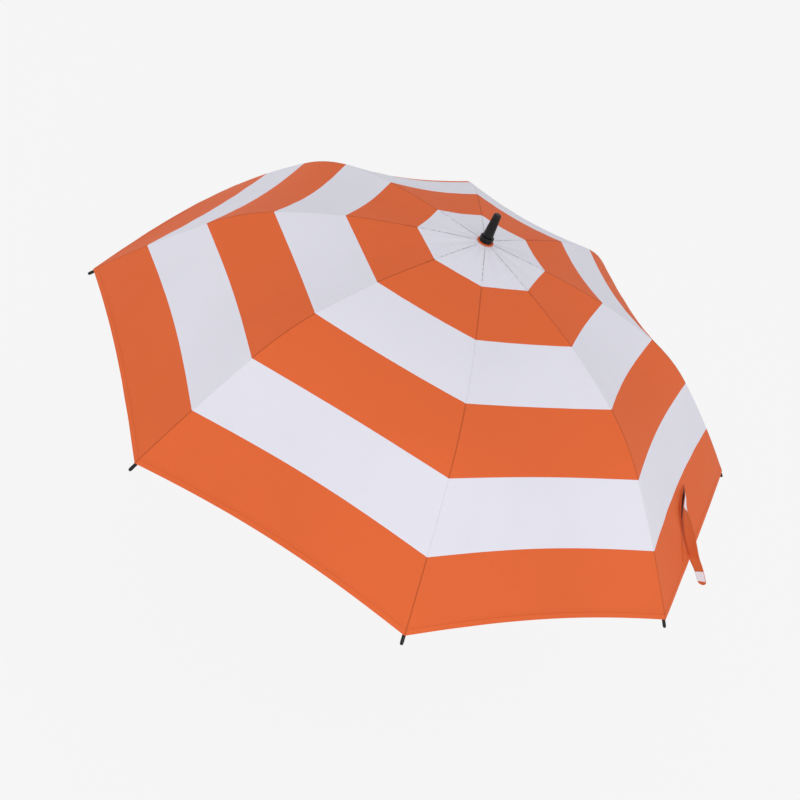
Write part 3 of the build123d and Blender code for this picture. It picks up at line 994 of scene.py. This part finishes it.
def add_ferrule():
    base = collar_low.z
    lower, groove, upper = 0.0120, 0.0110, 0.0128
    outline = [
        (SHAFT_RADIUS, 0), (lower - 0.0003, 0), (lower, 0.0008), (lower, 0.0040), (groove, 0.0047), (groove, 0.0054),
        (upper, 0.0062), (upper, 0.0090), (upper - 0.0012, 0.0103), (SHAFT_RADIUS + 0.0016, 0.0103),
    ]
    profile = rounded(outline, 0.0005)
    profile = [(radius, base + height) for radius, height in profile]
    profile += [(SHAFT_RADIUS, profile[-1][1]), profile[0]]
    collar = lathe("ferrule_base", profile, ferrule_black, sides=72)
    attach(collar, ROOT)
    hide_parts("ferrule_collar")
    bottom, top = ferrule_low.z, ferrule_high.z
    wide = ferrule_high.x + 0.0011
    end = 0.0066
    nose = 0.0022
    outline = [(0.0005, bottom), (wide - 0.0004, bottom), (wide, bottom + 0.0006), (wide, bottom + 0.002)]
    steps = 10
    for step in range(1, steps + 1):
        share = step / steps
        outline.append((wide + (end + 0.0004 - wide) * share, bottom + 0.002 + (top - nose - bottom - 0.002) * share))
    for step in range(1, 9):
        turn = math.pi / 2 * step / 8
        outline.append((end - nose + 0.0003 + nose * math.cos(turn), top - nose + nose * math.sin(turn)))
    outline.append((0.0005, top))
    spike = lathe("ferrule_spike", outline, ferrule_black, sides=72, crease_degrees=50)
    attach(spike, ROOT)
    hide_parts("ferrule")


add_washer()
add_crown_disc()
add_ferrule()


# ---------------------------------------------------------------- handle

grip_low, grip_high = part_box("handle_grip")


def add_grip():
    """Foam grip with shallow rings cut into it at both ends."""
    radius = grip_high.x
    bottom, top = grip_low.z, grip_high.z
    core = 0.012
    outline = [(core, bottom), (radius - 0.0016, bottom), (radius - 0.0004, bottom + 0.0006), (radius, bottom + 0.002)]
    rings = [bottom + 0.012 + 0.006 * n for n in range(3)] + [top - 0.024 + 0.006 * n for n in range(3)]
    for height in rings:
        outline += [(radius, height - 0.0011), (radius - 0.0008, height - 0.0006),
                    (radius - 0.0008, height + 0.0006), (radius, height + 0.0011)]
    outline += [(radius, top - 0.002), (radius - 0.0004, top - 0.0006), (radius - 0.0016, top), (core, top)]
    profile = rounded(outline, 0.0006, 3)
    profile.append(profile[0])
    grip = lathe("foam_grip", profile, grip_foam, sides=80, crease_degrees=60)
    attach(grip, ROOT)
    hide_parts("handle_grip")


add_grip()


def add_button_spring():
    """Bowed leaf of spring steel behind the button's latch plate, which the plate flattens."""
    low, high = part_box("button_spring")
    thickness = 0.00035
    bow = high.y - low.y - thickness
    steps = 24
    points, faces = [], []
    for step in range(steps + 1):
        share = 2 * step / steps - 1
        x = high.x * share
        y = low.y + bow * share ** 2
        for depth, height in ((0, low.z + 0.0002), (0, high.z - 0.0002), (0.00012, high.z),
                              (thickness, high.z - 0.0002), (thickness, low.z + 0.0002), (0.00012, low.z)):
            points.append((x, y + depth, height))
    for step in range(steps):
        for corner in range(6):
            a = step * 6 + corner
            b = step * 6 + (corner + 1) % 6
            faces.append((a, b, b + 6, a + 6))
    faces += [tuple(reversed(range(6))), tuple(range(steps * 6, steps * 6 + 6))]
    leaf = add_mesh("button_leaf", points, faces, [spring_steel])
    leaf.data.set_sharp_from_angle(angle=math.radians(40))
    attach(leaf, "runner")
    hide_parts("button_spring")
    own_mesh(leaf)


add_button_spring()


# ---------------------------------------------------------------- closing strap


STRAP_WIDTH = 0.0188
STRAP_THICKNESS = 0.0011
# Middle line of the strap from where it leaves the slit: x, y and z in mm from the canopy's top,
# and its twist in degrees from facing STRAP_FRONT.
STRAP_LINE = [
    (492.6, -206, -243.0, -64), (488.6, -242, -247.0, -56), (493, -267, -255.0, -38), (511, -297, -279.5, 10),
    (527, -307, -300.0, 34), (545, -315, -318.0, 48), (562, -327, -338.5, 56),
]
STRAP_FRONT = Vector((-0.17, -0.785, 0.596))
LOOP_PATCH = (0.05, 0.20)
HOOK_PATCH = (0.845, 0.945)


def spline(keys, share):
    """Smooth curve through evenly spaced keys."""
    at = share * (len(keys) - 1)
    first = min(int(at), len(keys) - 2)
    t = at - first
    k0, k1, k2, k3 = (np.array(keys[min(max(first + n, 0), len(keys) - 1)], float) for n in (-1, 0, 1, 2))
    return 0.5 * (2 * k1 + (k2 - k0) * t + (2 * k0 - 5 * k1 + 4 * k2 - k3) * t ** 2
                  + (3 * k1 - k0 - 3 * k2 + k3) * t ** 3)


def strap_frame(share):
    """Middle, direction across and facing of the strap."""
    x, y, z, twist = spline(STRAP_LINE, share)
    ahead = Vector(spline(STRAP_LINE, min(share + 0.01, 1))[:3])
    behind = Vector(spline(STRAP_LINE, max(share - 0.01, 0))[:3])
    run = (ahead - behind).normalized()
    front = (STRAP_FRONT - run * STRAP_FRONT.dot(run)).normalized()
    right = front.cross(run) * -1
    turn = math.radians(twist)
    side = right * math.cos(turn) - front * math.sin(turn)
    facing = front * math.cos(turn) + right * math.sin(turn)
    return Vector((x, y, z)) / 1000 + Vector((0, 0, CROWN_Z)), side, facing


def band(start, end, half_width, base, thickness, steps, columns=8, round_end=0.0):
    """Part of the strap, or a patch that lies base above its face, as a closed thin sheet."""
    points = []
    length = strap_length() * (end - start)
    widths = []
    for step in range(steps + 1):
        share = start + (end - start) * step / steps
        left = length * (1 - step / steps)
        narrow = 1.0
        if left < round_end:
            narrow = max(0.12, math.sqrt(max(0.0, 1 - (1 - left / round_end) ** 2)))
        widths.append((share, half_width * narrow))
    for level in (base + thickness, base):
        for share, half in widths:
            middle, side, facing = strap_frame(share)
            for column in range(columns + 1):
                across = 2 * column / columns - 1
                curl = 0.0006 * across ** 2
                edge = 0.0 if abs(across) < 1 else (base + thickness / 2 - level) * 0.7
                points.append(middle + side * half * across + facing * (level + curl + edge))
    row = columns + 1
    total = (steps + 1) * row
    faces = []
    for step in range(steps):
        for column in range(columns):
            a = step * row + column
            faces.append((a, a + row, a + row + 1, a + 1))
            faces.append((a + total, a + 1 + total, a + row + 1 + total, a + row + total))
    rim = list(range(row)) + [r * row + columns for r in range(1, steps + 1)]
    rim += [steps * row + c for c in range(columns - 1, -1, -1)] + [r * row for r in range(steps - 1, 0, -1)]
    for a, b in zip(rim, rim[1:] + rim[:1]):
        faces.append((a, b, b + total, a + total))
    return points, faces


def strap_length():
    line = [Vector(spline(STRAP_LINE, n / 60)[:3]) for n in range(61)]
    return sum((b - a).length for a, b in zip(line, line[1:])) / 1000


def on_slit_panel(side, share, lift):
    """Point of the cloth between the last rib and the first, lifted off it."""
    point, normal = cloth(np.array([share]), np.array([side]), RIBS, np.array([lift]))
    return turned([point[0]], RIBS)[0], turned([normal[0]], RIBS)[0]


# The slit and the pleat below it, as (side, share) on the last rib's half of the cloth.
SLIT_TOP = (1.062, 0.862)
SLIT_BOTTOM = (0.732, 0.906)
PLEAT_END = (0.50, 0.978)


# A step of one metre across the slit, as (side, share).
ACROSS_SLIT = (3.6, 0.68)


def mixed(first, second, share):
    return tuple(a + (b - a) * share for a, b in zip(first, second))


def slit_line(share):
    """Place along the slit and on down the pleat, and how far open the slit is there."""
    if share < 0.5:
        place = mixed(SLIT_TOP, SLIT_BOTTOM, share * 2)
        return place, math.sin(math.pi * share * 2) ** 0.7
    return mixed(SLIT_BOTTOM, PLEAT_END, share * 2 - 1), 0.0


def beside_slit(share, metres, lift):
    place, _ = slit_line(share)
    return on_slit_panel(place[0] + ACROSS_SLIT[0] * metres, place[1] + ACROSS_SLIT[1] * metres, lift)[0]


def make_slit():
    """Dark sheet of painted shadow in the slit, which narrows into a painted shadow line along the pleat below."""
    points, faces = [], []
    steps = 60
    for step in range(steps + 1):
        share = step / steps
        opening = slit_line(share)[1]
        for metres in (-0.0007 - 0.0085 * opening, 0.0007 + 0.0085 * opening):
            for lift in (0.0008, 0.0002):
                points.append(beside_slit(share, metres, lift))
    for step in range(steps):
        a = step * 4
        b = a + 4
        faces += [(a, a + 2, b + 2, b), (a + 1, b + 1, b + 3, a + 3), (a, b, b + 1, a + 1), (a + 2, a + 3, b + 3, b + 2)]
    faces += [(0, 1, 3, 2), (steps * 4, steps * 4 + 2, steps * 4 + 3, steps * 4 + 1)]
    return points, faces


def make_pleat():
    """Rolled lip along the slit's lower side, which runs on as a pleat to the hem."""
    points, faces = [], []
    steps = 60
    sides = 8
    for step in range(steps + 1):
        share = step / steps
        opening = slit_line(share)[1]
        middle = -0.0017 - 0.0098 * opening
        reach = 0.0009 + 0.0012 * opening
        height = 0.0010 + 0.0022 * opening
        for corner in range(sides):
            turn = 2 * math.pi * corner / sides
            rise = height * max(0.0, math.sin(turn)) + 0.0002 * math.sin(turn)
            points.append(beside_slit(share, middle + reach * math.cos(turn), rise))
    for step in range(steps):
        for corner in range(sides):
            a = step * sides + corner
            b = step * sides + (corner + 1) % sides
            faces.append((a, a + sides, b + sides, b))
    faces += [tuple(range(sides)), tuple(reversed(range(steps * sides, steps * sides + sides)))]
    return points, faces


def add_strap():
    """Closing strap with its two patches, the painted shadow sheet in the slit it comes out of and the pleat below."""
    length = strap_length()
    half = STRAP_WIDTH / 2

    def finish(piece, node=None):
        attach(piece, f"rib_outer_{RIBS}")
        if node:
            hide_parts(node)
        draw_in(piece, RIBS, outer_lines[(RIBS, 1)])

    def sheet(name, data, material, node=None):
        piece = add_mesh(name, *data, [material])
        finish(piece, node)
        return piece

    # The strap band takes the darkened orange, which is painted shade.
    sheet("strap_band", band(0, 1, half, 0, STRAP_THICKNESS, 60, round_end=0.011), strap_orange_painted_shade,
          "closure_strap")
    sheet("strap_loop", band(*LOOP_PATCH, half - 0.0015, STRAP_THICKNESS, 0.0008, 12), patch_pile,
          "strap_loop_patch")
    sheet("strap_hook", band(*HOOK_PATCH, half - 0.0005, STRAP_THICKNESS, 0.0008, 12), patch_pile,
          "strap_hook_patch")
    parts = []
    count = int(length / 0.0034)
    for way in (-1, 1):
        for number in range(2, count - 4):
            share = number / count
            if LOOP_PATCH[0] < share < LOOP_PATCH[1] or HOOK_PATCH[0] < share < HOOK_PATCH[1]:
                continue
            middle, side, facing = strap_frame(share)
            ahead = strap_frame(share + 0.01)[0]
            along = (ahead - middle).normalized()
            centre = middle + side * way * (half - 0.0025) + facing * (STRAP_THICKNESS + 0.00035)
            parts.append(stitch(centre, along, facing, 0.0023, 0.0005, 0.00022))
    finish(add_mesh("strap_stitches", *merged(parts), [orange_thread_and_seam_shade]))
    # The slit's piece is a dark sheet of painted shadow lying on the cloth.
    finish(add_mesh("strap_slit_painted_shadow", *make_slit(), [painted_slit_shadow]))
    finish(add_mesh("strap_pleat", *make_pleat(), [orange]))


add_strap()


# ---------------------------------------------------------------- CAD nodes that stay


def dress(names, material):
    for name in names:
        node = frame["nodes"][name]
        node.data.materials.clear()
        node.data.materials.append(material)


def numbered(stem):
    return [f"{stem}_{rib}" for rib in range(1, RIBS + 1)]


dress(["shaft"], shaft_black)
dress(["crown", "runner", "runner_button", "handle_collar", "handle_end_cap", "handle_core"], nylon)
dress(["crown_wire", "runner_wire", "open_catch", "closed_catch"], spring_steel)
dress(numbered("stretcher"), rod_black)


# ---------------------------------------------------------------- floor and light


def add_floor():
    paint = Shader("pale_floor", (0.07, 0.07, 0.07), 1.0, Specular_IOR_Level=0.0)
    paint.vary_colour(paint.noise(0.5, 2.0), 0.995, 1.005)
    paint.main.inputs["Emission Color"].default_value = (1, 1, 1, 1)
    paint.main.inputs["Emission Strength"].default_value = 0.86
    size = 30
    points = [(-size, -size, 0), (size, -size, 0), (size, size, 0), (-size, size, 0)]
    floor = add_mesh("floor", points, [(0, 1, 2, 3)], [paint.material], smooth=False)


def add_world():
    world = bpy.data.worlds.new("studio")
    scene.world = world
    world.use_nodes = True
    sky = world.node_tree.nodes["Background"]
    sky.inputs["Color"].default_value = (0.97, 0.98, 1.0, 1)
    sky.inputs["Strength"].default_value = 0.79


def add_softbox(name, place, aim, size, power):
    data = bpy.data.lights.new(name, "AREA")
    data.shape = "DISK"
    data.size = size
    data.energy = power
    lamp = bpy.data.objects.new(name, data)
    lamp.location = place
    lamp.rotation_euler = (Vector(aim) - Vector(place)).to_track_quat("-Z", "Y").to_euler()
    scene.collection.objects.link(lamp)


add_floor()
add_world()
centre = Vector((0, 0, CROWN_Z - 0.15))
add_softbox("key", centre + Vector((0.9, -3.8, 1.5)), centre, 2.2, 42)
add_softbox("fill", centre + Vector((-3.9, -0.9, 1.4)), centre, 2.2, 16)
scene.view_settings.view_transform = "Standard"
